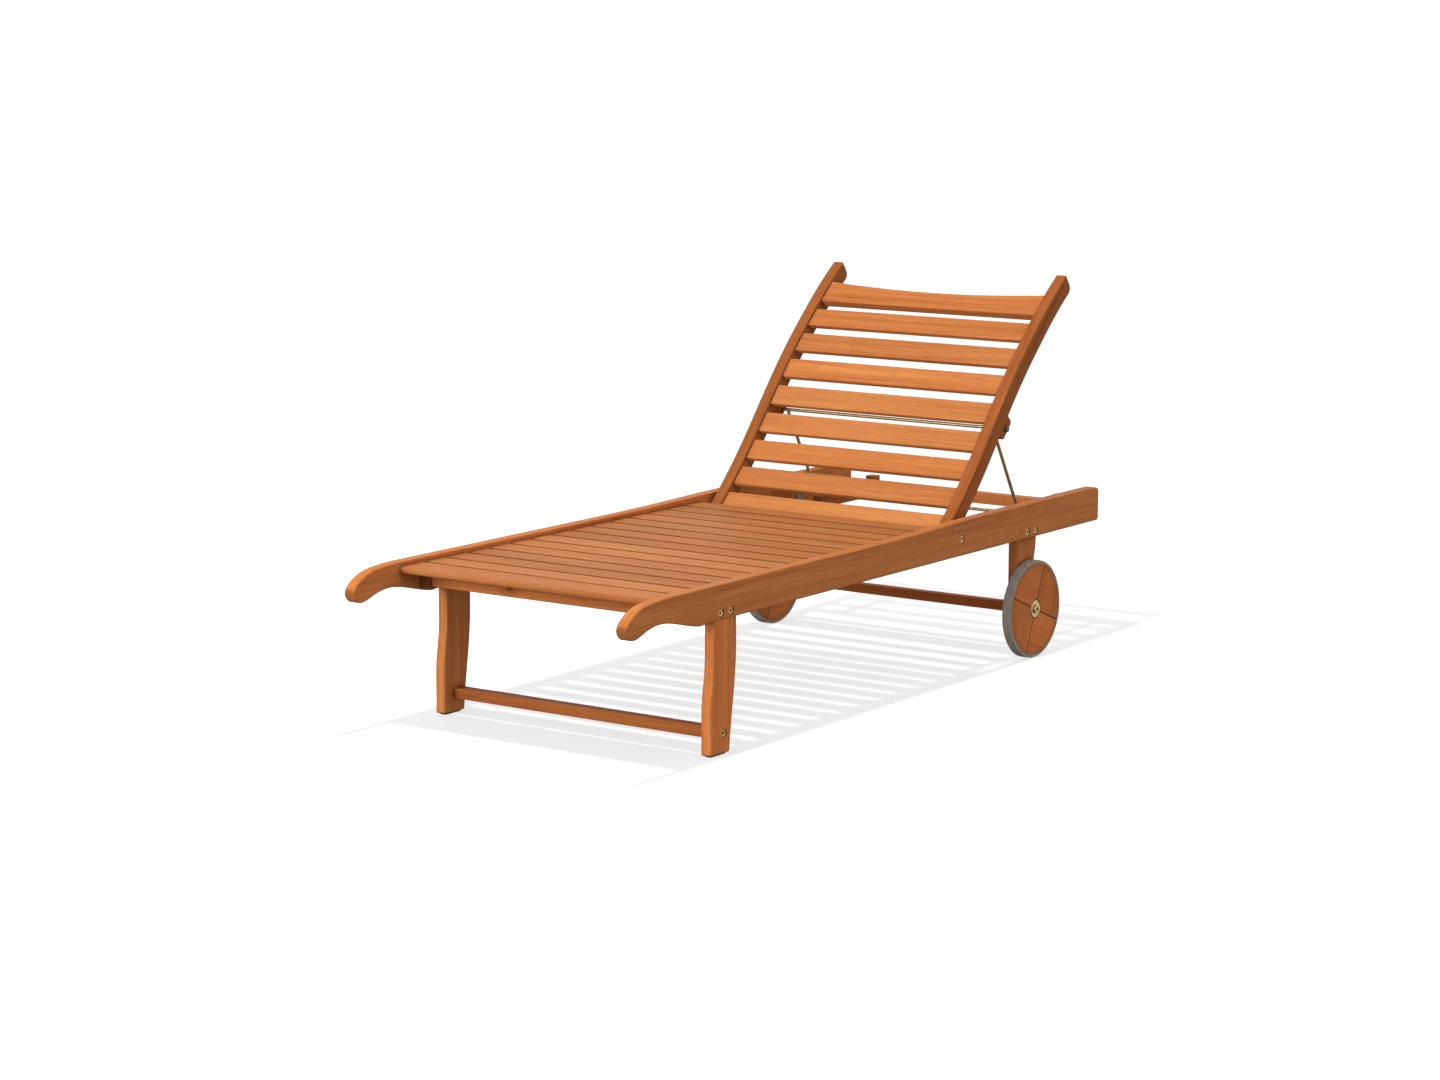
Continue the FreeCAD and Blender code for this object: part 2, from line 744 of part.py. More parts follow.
def build_backrest():
    stile = board(stile_board(), stile_inner, stile_outer)
    stile = ease_board(stile, stile_ease, stile_inner, stile_outer)
    blank = stile
    for number, (along, width, thickness) in enumerate(slat_places()):
        hollow = top_slat_hollow if number == back_slat_count - 1 else 0.0
        # the hollow leaves the slat's ends whole, so the tenon keeps to the full ends
        bar = tenon(width, thickness, 0.0)
        inside = box(-stile_inner + 1, stile_inner - 1, -width, width, -thickness - 1, 1)
        slat = back_slat(width, thickness, hollow).fuse(bar.cut(inside)).removeSplitter()
        mortise = seated_on_stile(tenon(width, thickness, tenon_gap), along)
        stile = stile.cut(mortise)
        slat = on_backrest(seated_on_stile(slat, along))
        nodes["back_slat_%02d" % (number + 1)] = slat
    hole = cylinder(pivot_radius + running_gap, stile_outer - pivot_in_stile, stile_outer + 1, 0, 0)
    stile = on_backrest(stile.cut(hole))
    pair("stile", stile)
    build_prop_blocks(blank)


def build_prop_blocks(stile_blank):
    """Blocks behind the stiles that hold the ends of the prop's upper bar."""
    middle = prop_pivot_along
    low = -prop_pivot_below - block_below_rod
    inner = stile_inner + block_inset
    block = box(
        inner, inner + block_thickness, middle - block_half_length, middle + block_half_length, low, 0
    )
    lower = [
        e for e in block.Edges
        if runs_along(e, V(1, 0, 0)) and e.BoundBox.ZMax < low + 1
    ]
    block = block.makeFillet(block_round, lower)
    block = block.cut(stile_blank)
    rod_hole = cylinder(
        rod_radius + running_gap, inner - 1, inner + block_thickness + 1, middle, -prop_pivot_below
    )
    block = block.cut(rod_hole)
    block = max(block.Solids, key=lambda s: -s.CenterOfMass.z)
    pair("prop_block", on_backrest(block))


# ---------------------------------------------------------------- prop
def build_prop():
    top_y, top_z = prop_pivot()
    foot_y, foot_z = prop_foot()
    lean = math.radians(prop_lean)
    down = V(0, math.cos(lean), math.sin(lean))
    top = V(arm_x, top_y, top_z)
    foot = V(arm_x, foot_y, foot_z)
    bend = prop_bend
    bow = bend * (1 - math.sqrt(0.5))
    arm_end = foot.sub(down * bend)
    bar_end = V(arm_x - bend, foot_y, foot_z)
    bend_middle = foot.sub(down * bow)
    bend_middle.x = arm_x - bow

    def other(p):
        return V(-p.x, p.y, p.z)

    path = Part.Wire([
        line(top, arm_end),
        arc(arm_end, bend_middle, bar_end),
        line(bar_end, other(bar_end)),
        arc(other(bar_end), other(bend_middle), other(arm_end)),
        line(other(arm_end), other(top)),
    ])
    section = Part.Wire([Part.makeCircle(rod_radius, top, down)])
    legs = path.makePipeShell([section], True, False)
    reach = stile_inner + block_inset + block_thickness + free_gap + cap_length / 2
    bar = cylinder(rod_radius, -reach, reach, top_y, top_z)
    nodes["prop_rod"] = legs.fuse(bar).removeSplitter()
    inner = stile_inner + block_inset + block_thickness + free_gap
    cap = cylinder(cap_radius, inner, inner + cap_length, top_y, top_z)
    outer_edge = [e for e in cap.Edges if lies_in(e, inner + cap_length)]
    cap = cap.makeFillet(cap_round, outer_edge)
    group("prop_caps", [cap.cut(cylinder(rod_radius, inner - 1, reach, top_y, top_z))])


# ---------------------------------------------------------------- racks and rear cross rail
def rack_top(y, path):
    """Highest the rack may stand at y: just under the moving foot bar."""
    height = cross_rail_top + rack_stop_height
    for foot_y, foot_z in path:
        reach = rod_radius + rack_clearance
        if abs(y - foot_y) < reach:
            height = min(height, foot_z - math.sqrt(reach ** 2 - (y - foot_y) ** 2))
    return height


def cross_rail_tenon(gap):
    """Both tenons of the cross rail as one bar through it."""
    reach = rail_inner + tenon_length + gap
    side = tenon_shoulder - gap
    return box(
        -reach, reach, cross_rail_front + side, cross_rail_rear - side,
        cross_rail_top - cross_rail_height + side, cross_rail_top - side,
    )


def build_racks():
    travel = recline - flat_recline + over_recline
    step = 0.25
    path = [prop_foot(over_recline - step * i) for i in range(int(travel / step) + 1)]
    foot_y, foot_z = prop_foot()
    front = foot_y - rack_front
    stop = cross_rail_front
    bottom = foot_z - rod_radius - rack_clearance - rack_depth
    steps = 8
    places = [front + (stop - rack_step_run - front) * i / steps for i in range(steps + 1)]
    tops = [min(rack_top(y, path), foot_z - rod_radius - rack_clearance) for y in places]
    stop_top = cross_rail_top + rack_stop_height
    edges = [
        spline([point(y, z) for y, z in zip(places, tops)]),
        line(point(places[-1], tops[-1]), point(stop, cross_rail_top + rack_step_height)),
        line(point(stop, cross_rail_top + rack_step_height), point(stop, stop_top)),
        line(point(stop, stop_top), point(cross_rail_rear, stop_top)),
        line(point(cross_rail_rear, stop_top), point(cross_rail_rear, cross_rail_top)),
        line(point(cross_rail_rear, cross_rail_top), point(stop, cross_rail_top)),
        line(point(stop, cross_rail_top), point(stop, bottom)),
        line(point(stop, bottom), point(front, bottom)),
        line(point(front, bottom), point(front, tops[0])),
    ]
    rack = board(edges, rack_inner, rack_outer)
    for change in notch_reclines:
        y, z = prop_foot(change)
        round_low = z - notch_depth + notch_gap
        notch = cylinder(rod_radius + notch_gap, rack_inner - 1, rack_outer + 1, y, round_low)
        width = rod_radius + notch_gap
        mouth = box(rack_inner - 1, rack_outer + 1, y - width, y + width, round_low, z + 10)
        rack = rack.cut(notch).cut(mouth)
    pair("prop_rack", rack)

    rail = box(
        -rail_inner, rail_inner, cross_rail_front, cross_rail_rear,
        cross_rail_top - cross_rail_height, cross_rail_top,
    )
    rail = ease_along(rail, cross_rail_ease, V(1, 0, 0))
    nodes["rear_cross_rail"] = rail.fuse(cross_rail_tenon(0.0)).removeSplitter()

    y0 = front + bracket_back
    leaf = box(rack_inner, rail_inner, y0, y0 + bracket_width, bottom - bracket_thickness, bottom)
    flange = box(
        rail_inner - bracket_thickness, rail_inner, y0, y0 + bracket_width,
        bottom - bracket_thickness, bottom - bracket_thickness + bracket_height,
    )
    bracket = leaf.fuse(flange).removeSplitter()
    pair("rack_bracket", bracket)


# ---------------------------------------------------------------- wheels
def build_wheels():
    disc_radius = wheel_radius - tyre_thickness
    y = axle_y
    z = axle_z
    disc = cylinder(disc_radius, wheel_inner, wheel_outer, y, z)
    disc = disc.cut(cylinder(hub_barrel_radius, wheel_inner - 1, wheel_outer + 1, y, z))
    recess = cylinder(hub_recess_radius, wheel_outer - hub_recess_depth, wheel_outer + 1, y, z)
    disc = disc.cut(recess)
    reach = wheel_radius + 10
    half = disc_joint / 2
    upright = box(wheel_inner - 1, wheel_outer + 1, y - half, y + half, z - reach, z + reach)
    level = box(wheel_inner - 1, wheel_outer + 1, y - reach, y + reach, z - half, z + half)
    for joint in (upright, level):
        joint.rotate(V(0, y, z), V(1, 0, 0), -disc_turn)
        disc = disc.cut(joint)
    pair("wheel_disc", disc)

    tyre = cylinder(wheel_radius, wheel_inner, wheel_outer, y, z)
    rims = [e for e in tyre.Edges if lies_in(e, wheel_inner) or lies_in(e, wheel_outer)]
    tyre = tyre.makeFillet(tyre_crown, rims)
    tyre = tyre.cut(cylinder(disc_radius, wheel_inner - 1, wheel_outer + 1, y, z))
    pair("tyre", tyre)

    seat = wheel_outer - hub_recess_depth
    flange = cylinder(hub_flange_radius, seat, seat + hub_flange_thickness, y, z)
    rim = [e for e in flange.Edges if lies_in(e, seat + hub_flange_thickness)]
    flange = flange.makeFillet(hub_round, rim)
    hub = flange.fuse(cylinder(hub_barrel_radius, wheel_inner, seat + 1, y, z)).removeSplitter()
    bore = cylinder(axle_radius + running_gap, wheel_inner - 1, wheel_outer + 10, y, z)
    pair("wheel_hub", hub.cut(bore))

    washer = cylinder(washer_radius, rear_leg_outer, wheel_inner - free_gap, y, z)
    washer = washer.cut(cylinder(axle_radius + bolt_hole_gap, rear_leg_outer - 1, wheel_inner, y, z))
    group("wheel_washers", [washer])

    head_x = seat + hub_flange_thickness + free_gap
    head_end = head_x + axle_head_height
    bolt = cylinder(axle_radius, rear_leg_inner - axle_in_stretcher, head_x + 1, y, z)
    head = cylinder(axle_head_radius, head_x, head_end, y, z)
    rim = [e for e in head.Edges if lies_in(e, head_end)]
    head = head.makeFillet(axle_head_round, rim)
    head = head.cut(hexagon(axle_socket_flats, head_end - axle_socket_depth, head_end + 1, y, z))
    group("wheel_bolts", [bolt.fuse(head).removeSplitter()])


build_rails()
build_front_legs()
build_rear_legs()
build_seat()
build_backrest()
build_prop()
build_racks()
build_wheels()
build_fasteners()

os.makedirs("parts", exist_ok=True)
for name, shape in nodes.items():
    shape.exportStep("parts/%s.step" % name)
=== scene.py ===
import math

import bpy
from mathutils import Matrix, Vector


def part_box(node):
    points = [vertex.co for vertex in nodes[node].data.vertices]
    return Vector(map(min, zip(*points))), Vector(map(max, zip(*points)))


# Looks of a reclining sun lounger in oiled hardwood. Metres, +Y is the head end, +X the lounger's left.

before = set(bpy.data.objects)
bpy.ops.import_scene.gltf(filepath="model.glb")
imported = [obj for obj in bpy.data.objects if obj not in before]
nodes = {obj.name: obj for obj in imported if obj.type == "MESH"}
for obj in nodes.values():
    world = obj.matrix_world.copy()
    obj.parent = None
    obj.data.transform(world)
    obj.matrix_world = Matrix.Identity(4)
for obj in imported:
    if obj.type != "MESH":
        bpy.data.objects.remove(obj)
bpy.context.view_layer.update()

ALONG_X = (0.0, 0.0, 0.0)                       # Mapping turns that bring the grain onto X
ALONG_Y = (0.0, 0.0, -math.pi / 2)
ALONG_Z = (-math.pi / 2, 0.0, -math.pi / 2)
BACKREST_TILT = math.radians(46.5)
ALONG_BACKREST = (-BACKREST_TILT, 0.0, -math.pi / 2)
GRAIN = {
    ALONG_X: (1.0, 0.0, 0.0),
    ALONG_Y: (0.0, 1.0, 0.0),
    ALONG_Z: (0.0, 0.0, 1.0),
    ALONG_BACKREST: (0.0, math.cos(BACKREST_TILT), math.sin(BACKREST_TILT)),
}
QUARTER_TURN = math.radians(22.0)               # lean of the joints between the wheels' quarters


# ---------------------------------------------------------------- node helpers
class Tree:
    """Short calls for building one material's nodes."""

    def __init__(self, name):
        self.material = bpy.data.materials.new(name)
        self.material.use_nodes = True
        self.nodes = self.material.node_tree.nodes
        self.links = self.material.node_tree.links
        self.nodes.clear()
        self.shader = self.nodes.new("ShaderNodeBsdfPrincipled")
        output = self.nodes.new("ShaderNodeOutputMaterial")
        self.links.new(self.shader.outputs["BSDF"], output.inputs["Surface"])

    def put(self, socket, value):
        if isinstance(value, bpy.types.NodeSocket):
            self.links.new(value, socket)
        else:
            socket.default_value = value

    def coordinates(self, kind="Object"):
        return self.nodes.new("ShaderNodeTexCoord").outputs[kind]

    def mapping(self, vector, location=(0, 0, 0), rotation=(0, 0, 0), scale=(1, 1, 1)):
        node = self.nodes.new("ShaderNodeMapping")
        self.put(node.inputs["Vector"], vector)
        node.inputs["Location"].default_value = location
        node.inputs["Rotation"].default_value = rotation
        node.inputs["Scale"].default_value = scale
        return node.outputs["Vector"]

    def combined(self, x, y, z=0.0):
        node = self.nodes.new("ShaderNodeCombineXYZ")
        self.put(node.inputs[0], x)
        self.put(node.inputs[1], y)
        self.put(node.inputs[2], z)
        return node.outputs[0]

    def noise(self, vector, scale=1.0, detail=2.0, roughness=0.5, colour=False):
        node = self.nodes.new("ShaderNodeTexNoise")
        self.put(node.inputs["Vector"], vector)
        node.inputs["Scale"].default_value = scale
        node.inputs["Detail"].default_value = detail
        node.inputs["Roughness"].default_value = roughness
        return node.outputs["Color" if colour else "Fac"]

    def cells(self, vector, scale):
        """A random colour for each cell of a crystal pattern."""
        node = self.nodes.new("ShaderNodeTexVoronoi")
        self.put(node.inputs["Vector"], vector)
        node.inputs["Scale"].default_value = scale
        return node.outputs["Color"]

    def math(self, operation, a, b=0.0, clamp=False):
        node = self.nodes.new("ShaderNodeMath")
        node.operation = operation
        node.use_clamp = clamp
        self.put(node.inputs[0], a)
        self.put(node.inputs[1], b)
        return node.outputs[0]

    def vector(self, operation, a, b=(0, 0, 0), output="Vector"):
        node = self.nodes.new("ShaderNodeVectorMath")
        node.operation = operation
        self.put(node.inputs[0], a)
        self.put(node.inputs[1], b)
        return node.outputs[output]

    def span(self, value, low, high, to_low=0.0, to_high=1.0):
        """Maps low..high onto to_low..to_high, smoothly and clamped."""
        node = self.nodes.new("ShaderNodeMapRange")
        node.interpolation_type = "SMOOTHSTEP"
        self.put(node.inputs["Value"], value)
        node.inputs["From Min"].default_value = low
        node.inputs["From Max"].default_value = high
        node.inputs["To Min"].default_value = to_low
        node.inputs["To Max"].default_value = to_high
        return node.outputs["Result"]

    def mix(self, factor, a, b):
        node = self.nodes.new("ShaderNodeMix")
        node.data_type = "RGBA"
        self.put(node.inputs["Factor"], factor)
        self.put(node.inputs[6], a)
        self.put(node.inputs[7], b)
        return node.outputs[2]

    def bump(self, height, strength, distance):
        node = self.nodes.new("ShaderNodeBump")
        self.put(node.inputs["Height"], height)
        node.inputs["Strength"].default_value = strength
        node.inputs["Distance"].default_value = distance
        return node.outputs["Normal"]

    def edge_mask(self, radius):
        """1 on the arrises, 0 on the faces."""
        rounded = self.nodes.new("ShaderNodeBevel")
        rounded.samples = 3
        rounded.inputs["Radius"].default_value = radius
        flat = self.nodes.new("ShaderNodeNewGeometry").outputs["Normal"]
        facing = self.vector("DOT_PRODUCT", rounded.outputs["Normal"], flat, "Value")
        return self.span(facing, 0.995, 0.90)

    def crevice_shade(self, distance):
        """1 deep in gaps and corners, 0 in the open: the mask for painting shade there."""
        node = self.nodes.new("ShaderNodeAmbientOcclusion")
        node.samples = 5
        node.inputs["Distance"].default_value = distance
        return self.span(node.outputs["AO"], 0.86, 0.30)


def tinted(colour, tone, warmth):
    """The colour made lighter or darker, and redder or yellower."""
    r, g, b = colour
    return (r * tone, g * tone * (1 + warmth), b * tone * (1 + 1.6 * warmth), 1.0)


# ---------------------------------------------------------------- wood
WOOD_DARK = (0.330, 0.098, 0.026)
WOOD_MIDDLE = (0.465, 0.156, 0.045)
WOOD_LIGHT = (0.580, 0.218, 0.070)
PORE = (0.170, 0.045, 0.013)
# colour of the painted shade in gaps and corners
CREVICE_SHADE = (0.090, 0.026, 0.009)
KNOT_CORE = (0.055, 0.016, 0.007, 1.0)
ARRIS_WIDTH = 0.0018             # of the paler, worn band along each board's edges
# how far the painted shade in gaps and corners reaches
CREVICE_SHADE_REACH = 0.014
WHEEL_TONE = 1.16
WHEEL_WARMTH = -0.11
WHEEL_SHADE = (0.20, 0.060, 0.022, 1.0)
WHEEL_GRIME = (0.13, 0.060, 0.033, 1.0)
JOINT_DARK = (0.045, 0.014, 0.006, 1.0)


def wood_surface(tree, grain, end_mask, tone, warmth):
    """Colour, roughness and relief of planed, oiled hardwood. The grain runs along the vector's X."""
    wander = tree.noise(tree.mapping(grain, scale=(2.2, 9.0, 9.0)), detail=1.0, colour=True)
    wander = tree.vector("SUBTRACT", wander, (0.5, 0.5, 0.5))
    wander = tree.vector("MULTIPLY", wander, (0.0, 0.022, 0.022))
    grain = tree.vector("ADD", grain, wander)
    patch = tree.noise(tree.mapping(grain, scale=(1.6, 7.0, 7.0)), detail=2.0)
    streak = tree.noise(tree.mapping(grain, scale=(1.1, 46.0, 46.0)), detail=3.0, roughness=0.6)
    rings = tree.noise(tree.mapping(grain, scale=(2.0, 170.0, 170.0)), detail=2.0, roughness=0.55)
    fibre = tree.noise(tree.mapping(grain, scale=(11.0, 950.0, 950.0)), detail=2.0)
    pores = tree.noise(tree.mapping(grain, scale=(34.0, 1500.0, 1500.0)), detail=1.0)
    pores = tree.span(pores, 0.60, 0.72)

    figure = tree.math("MULTIPLY", streak, 0.42)
    figure = tree.math("ADD", figure, tree.math("MULTIPLY", rings, 0.34))
    figure = tree.math("ADD", figure, tree.math("MULTIPLY", fibre, 0.24))
    dark = tinted(WOOD_DARK, tone, warmth)
    middle = tinted(WOOD_MIDDLE, tone, warmth)
    light = tinted(WOOD_LIGHT, tone, warmth)
    deep = tinted(PORE, tone, warmth)
    colour = tree.mix(tree.span(figure, 0.34, 0.52), dark, middle)
    colour = tree.mix(tree.span(figure, 0.50, 0.68), colour, light)
    colour = tree.mix(tree.span(patch, 0.35, 0.70, 0.0, 0.30), colour, light)
    colour = tree.mix(tree.math("MULTIPLY", pores, 0.45), colour, deep)
    colour = tree.mix(tree.math("MULTIPLY", end_mask, 0.5), colour, deep)
    edges = tree.edge_mask(ARRIS_WIDTH)
    worn = tree.math("MULTIPLY", edges, tree.span(patch, 0.45, 0.66, 0.0, 0.30))
    colour = tree.mix(worn, colour, tinted(WOOD_LIGHT, tone * 1.10, warmth))
    # painted shade: darkens the wood in gaps and corners
    painted_crevice_shade = tree.math("MULTIPLY", tree.crevice_shade(CREVICE_SHADE_REACH), 0.86)
    colour = tree.mix(painted_crevice_shade, colour, tinted(CREVICE_SHADE, tone, warmth))

    rough = tree.span(streak, 0.30, 0.72, 0.36, 0.52)
    rough = tree.math("ADD", rough, tree.math("MULTIPLY", pores, 0.15))
    rough = tree.math("ADD", rough, tree.math("MULTIPLY", end_mask, 0.18), clamp=True)
    relief = tree.math("ADD", tree.math("MULTIPLY", fibre, 0.5), tree.math("MULTIPLY", rings, 0.6))
    relief = tree.math("SUBTRACT", relief, tree.math("MULTIPLY", pores, 0.5))
    return colour, rough, relief


def finish_wood(tree, colour, rough, relief):
    tree.put(tree.shader.inputs["Base Color"], colour)
    tree.put(tree.shader.inputs["Roughness"], rough)
    tree.put(tree.shader.inputs["Normal"], tree.bump(relief, 0.35, 0.0006))
    tree.shader.inputs["IOR"].default_value = 1.45
    tree.shader.inputs["Specular IOR Level"].default_value = 0.02


def knotted(tree, colour, relief, place, tone):
    """Adds a small dark knot and a darker halo around it."""
    away = tree.vector("SUBTRACT", tree.coordinates(), place)
    away = tree.vector("MULTIPLY", away, (0.62, 0.6, 1.0))
    distance = tree.vector("LENGTH", away, output="Value")
    ragged = tree.math("MULTIPLY", tree.noise(tree.coordinates(), 90.0), KNOT_RADIUS * 0.6)
    distance = tree.math("ADD", distance, ragged)
    core = tree.span(distance, KNOT_RADIUS * 1.25, KNOT_RADIUS * 0.70, 0.0, 0.65)
    halo = tree.span(distance, KNOT_RADIUS * 3.6, KNOT_RADIUS * 1.2, 0.0, 0.60)
    colour = tree.mix(halo, colour, tinted(WOOD_DARK, tone, 0.0))
    colour = tree.mix(core, colour, KNOT_CORE)
    return colour, tree.math("SUBTRACT", relief, core)


def board_material(name, turn, number, tone, warmth, knot, gap_shade):
    """Wood for one board. The number moves the board to another part of the tree.

    knot is the place of its knot, or None. The last argument is the strength of the painted shade on its
    faces towards the next boards, inside the gaps.
    """
    tree = Tree(name)
    place = (number * 1.37, number * 0.611, number * 0.353)
    grain = tree.mapping(tree.coordinates(), location=place, rotation=turn)
    facing = tree.vector("DOT_PRODUCT", tree.coordinates("Normal"), GRAIN[turn], "Value")
    end_mask = tree.span(tree.math("ABSOLUTE", facing), 0.75, 0.95)
    colour, rough, relief = wood_surface(tree, grain, end_mask, tone, warmth)
    if knot:
        colour, relief = knotted(tree, colour, relief, knot, tone)
    if gap_shade:
        # painted shade on the faces towards the next boards, inside the gaps
        sideways = tree.vector("DOT_PRODUCT", tree.coordinates("Normal"), (0.0, 1.0, 0.0), "Value")
        edge = tree.span(tree.math("ABSOLUTE", sideways), 0.40, 0.85, 0.0, gap_shade)
        colour = tree.mix(edge, colour, tinted(PORE, tone, warmth))
    finish_wood(tree, colour, rough, relief)
    return tree.material


def wheel_material(name, centre, outer, number):
    """Wood for a disc of four quarters. Each quarter's grain runs square to the next one's."""
    tree = Tree(name)
    from_centre = tree.vector("SUBTRACT", tree.coordinates(), tuple(centre))
    turned = tree.mapping(from_centre, rotation=(QUARTER_TURN, 0.0, 0.0))
    split = tree.nodes.new("ShaderNodeSeparateXYZ")
    tree.put(split.inputs[0], turned)
    across, up = split.outputs[1], split.outputs[2]
    product = tree.math("MULTIPLY", across, up)
    quarter = tree.math("GREATER_THAN", product, 0.0)
    side = tree.math("GREATER_THAN", up, 0.0)
    chosen = tree.nodes.new("ShaderNodeMix")
    chosen.data_type = "VECTOR"
    tree.put(chosen.inputs["Factor"], quarter)
    tree.put(chosen.inputs[4], tree.combined(across, up, split.outputs[0]))
    tree.put(chosen.inputs[5], tree.combined(up, across, split.outputs[0]))
    # moves each quarter and each wheel to another part of the tree
    shift = tree.combined(
        tree.math("ADD", tree.math("MULTIPLY", side, 0.73), number * 1.3),
        tree.math("MULTIPLY", quarter, 0.41),
    )
    grain = tree.vector("ADD", chosen.outputs[1], shift)
    colour, rough, relief = wood_surface(tree, grain, 0.0, WHEEL_TONE, WHEEL_WARMTH)
    shade = tree.math("ADD", tree.math("MULTIPLY", quarter, 0.16), tree.math("MULTIPLY", side, 0.10))
    colour = tree.mix(shade, colour, WHEEL_SHADE)
    to_joint = tree.math("MINIMUM", tree.math("ABSOLUTE", across), tree.math("ABSOLUTE", up))
    joint = tree.span(to_joint, 0.0022, 0.0006, 0.0, 0.88)
    colour = tree.mix(joint, colour, JOINT_DARK)
    radius = tree.vector("LENGTH", turned, output="Value")
    grime_and_shade = tree.math("MULTIPLY", tree.span(radius, outer - 0.0225, outer - 0.0065), 0.35)
    colour = tree.mix(grime_and_shade, colour, WHEEL_GRIME)
    finish_wood(tree, colour, rough, relief)
    return tree.material


# ---------------------------------------------------------------- metals, rubber, plastic
SPANGLE = (0.86, 0.88, 0.90, 1.0)
# colour of the painted shade in metal recesses
METAL_RECESS_SHADE = (0.035, 0.022, 0.012, 1.0)
METAL_WEAR_WIDTH = 0.0008
RUBBER_DARK = (0.205, 0.172, 0.126, 1.0)
RUBBER_PALE = (0.325, 0.280, 0.212, 1.0)
RUBBER_WORN = (0.300, 0.268, 0.225, 1.0)
RUBBER_DUST = (0.34, 0.31, 0.27, 1.0)
PLASTIC_DARK = (0.075, 0.072, 0.068)
PLASTIC_CHALKED = (0.125, 0.120, 0.112)


def metal_material(name, bright, dull, rough_low, rough_high, spangle=0.0, grime_and_shade=0.0):
    """Plated metal with handling marks: fine scratches, blotches of duller plating, worn edges. With its
    last argument above 0, its recesses also get painted shade.
    """
    tree = Tree(name)
    place = tree.coordinates()
    blotch = tree.noise(place, 85.0, detail=4.0, roughness=0.65)
    scratch = tree.noise(tree.mapping(place, rotation=(0.4, 0.9, 0.2), scale=(60, 1900, 1900)), detail=2.0)
    marks = tree.span(scratch, 0.56, 0.70)
    factor = tree.span(blotch, 0.35, 0.68)
    colour = tree.mix(factor, (*dull, 1.0), (*bright, 1.0))
    if spangle > 0:
        grey = tree.nodes.new("ShaderNodeRGBToBW")
        tree.put(grey.inputs[0], tree.cells(place, 160.0))
        colour = tree.mix(tree.math("MULTIPLY", grey.outputs[0], spangle), colour, SPANGLE)
    edges = tree.edge_mask(METAL_WEAR_WIDTH)
    polished = [min(1.0, part * 1.25) for part in bright]
    colour = tree.mix(tree.math("MULTIPLY", edges, 0.45), colour, (*polished, 1.0))
    # painted shade: darkens the recesses, such as the bolts' sockets
    if grime_and_shade > 0:
        painted_shade = tree.math("MULTIPLY", tree.crevice_shade(0.005), grime_and_shade)
        colour = tree.mix(painted_shade, colour, METAL_RECESS_SHADE)
    rough = tree.span(blotch, 0.30, 0.75, rough_high, rough_low)
    rough = tree.math("ADD", rough, tree.math("MULTIPLY", marks, 0.10))
    tree.put(tree.shader.inputs["Base Color"], colour)
    tree.put(tree.shader.inputs["Roughness"], rough)
    tree.shader.inputs["Metallic"].default_value = 1.0
    relief = tree.math("SUBTRACT", tree.math("MULTIPLY", blotch, 0.6), tree.math("MULTIPLY", marks, 0.6))
    tree.put(tree.shader.inputs["Normal"], tree.bump(relief, 0.25, 0.00015))
    return tree.material


def tyre_material(name, centre, outer):
    """Matt grey rubber, scuffed paler on the tread, with dust settled near the rim."""
    tree = Tree(name)
    place = tree.coordinates()
    away = tree.vector("SUBTRACT", place, tuple(centre))
    away = tree.vector("MULTIPLY", away, (0.0, 1.0, 1.0))
    radius = tree.vector("LENGTH", away, output="Value")
    tread = tree.span(radius, outer - 0.0030, outer - 0.0007)
    grit = tree.noise(place, 900.0, detail=3.0, roughness=0.7)
    scuff = tree.noise(place, 46.0, detail=4.0, roughness=0.7)
    colour = tree.mix(tree.span(scuff, 0.35, 0.70), RUBBER_DARK, RUBBER_PALE)
    worn = tree.math("MULTIPLY", tread, tree.span(scuff, 0.30, 0.62, 0.25, 0.85))
    colour = tree.mix(worn, colour, RUBBER_WORN)
    colour = tree.mix(tree.span(grit, 0.58, 0.76, 0.0, 0.35), colour, RUBBER_DUST)
    tree.put(tree.shader.inputs["Base Color"], colour)
    tree.put(tree.shader.inputs["Roughness"], tree.span(grit, 0.3, 0.7, 0.68, 0.88))
    relief = tree.math("ADD", grit, tree.math("MULTIPLY", scuff, 0.5))
    tree.put(tree.shader.inputs["Normal"], tree.bump(relief, 0.45, 0.0004))
    return tree.material


def plastic_material(name, tone):
    """Moulded plastic: fine spark-eroded texture, slightly chalked by the sun."""
    tree = Tree(name)
    place = tree.coordinates()
    chalk = tree.noise(place, 120.0, detail=3.0)
    texture = tree.noise(place, 1800.0, detail=2.0)
    fresh = tinted(PLASTIC_DARK, tone, 0.0)
    chalked = tinted(PLASTIC_CHALKED, tone, 0.0)
    colour = tree.mix(tree.span(chalk, 0.35, 0.70), fresh, chalked)
    tree.put(tree.shader.inputs["Base Color"], colour)
    tree.put(tree.shader.inputs["Roughness"], tree.span(chalk, 0.3, 0.7, 0.46, 0.62))
    tree.put(tree.shader.inputs["Normal"], tree.bump(texture, 0.3, 0.0002))
    return tree.material


# ---------------------------------------------------------------- finishing each node
def give(node, material):
    mesh = nodes[node].data
    mesh.materials.clear()
    mesh.materials.append(material)


def spread(number, low, high):
    """A fixed, uneven value for each board, between low and high."""
    part = math.sin(number * 12.9898) * 43758.5453
    return low + (high - low) * (part - math.floor(part))


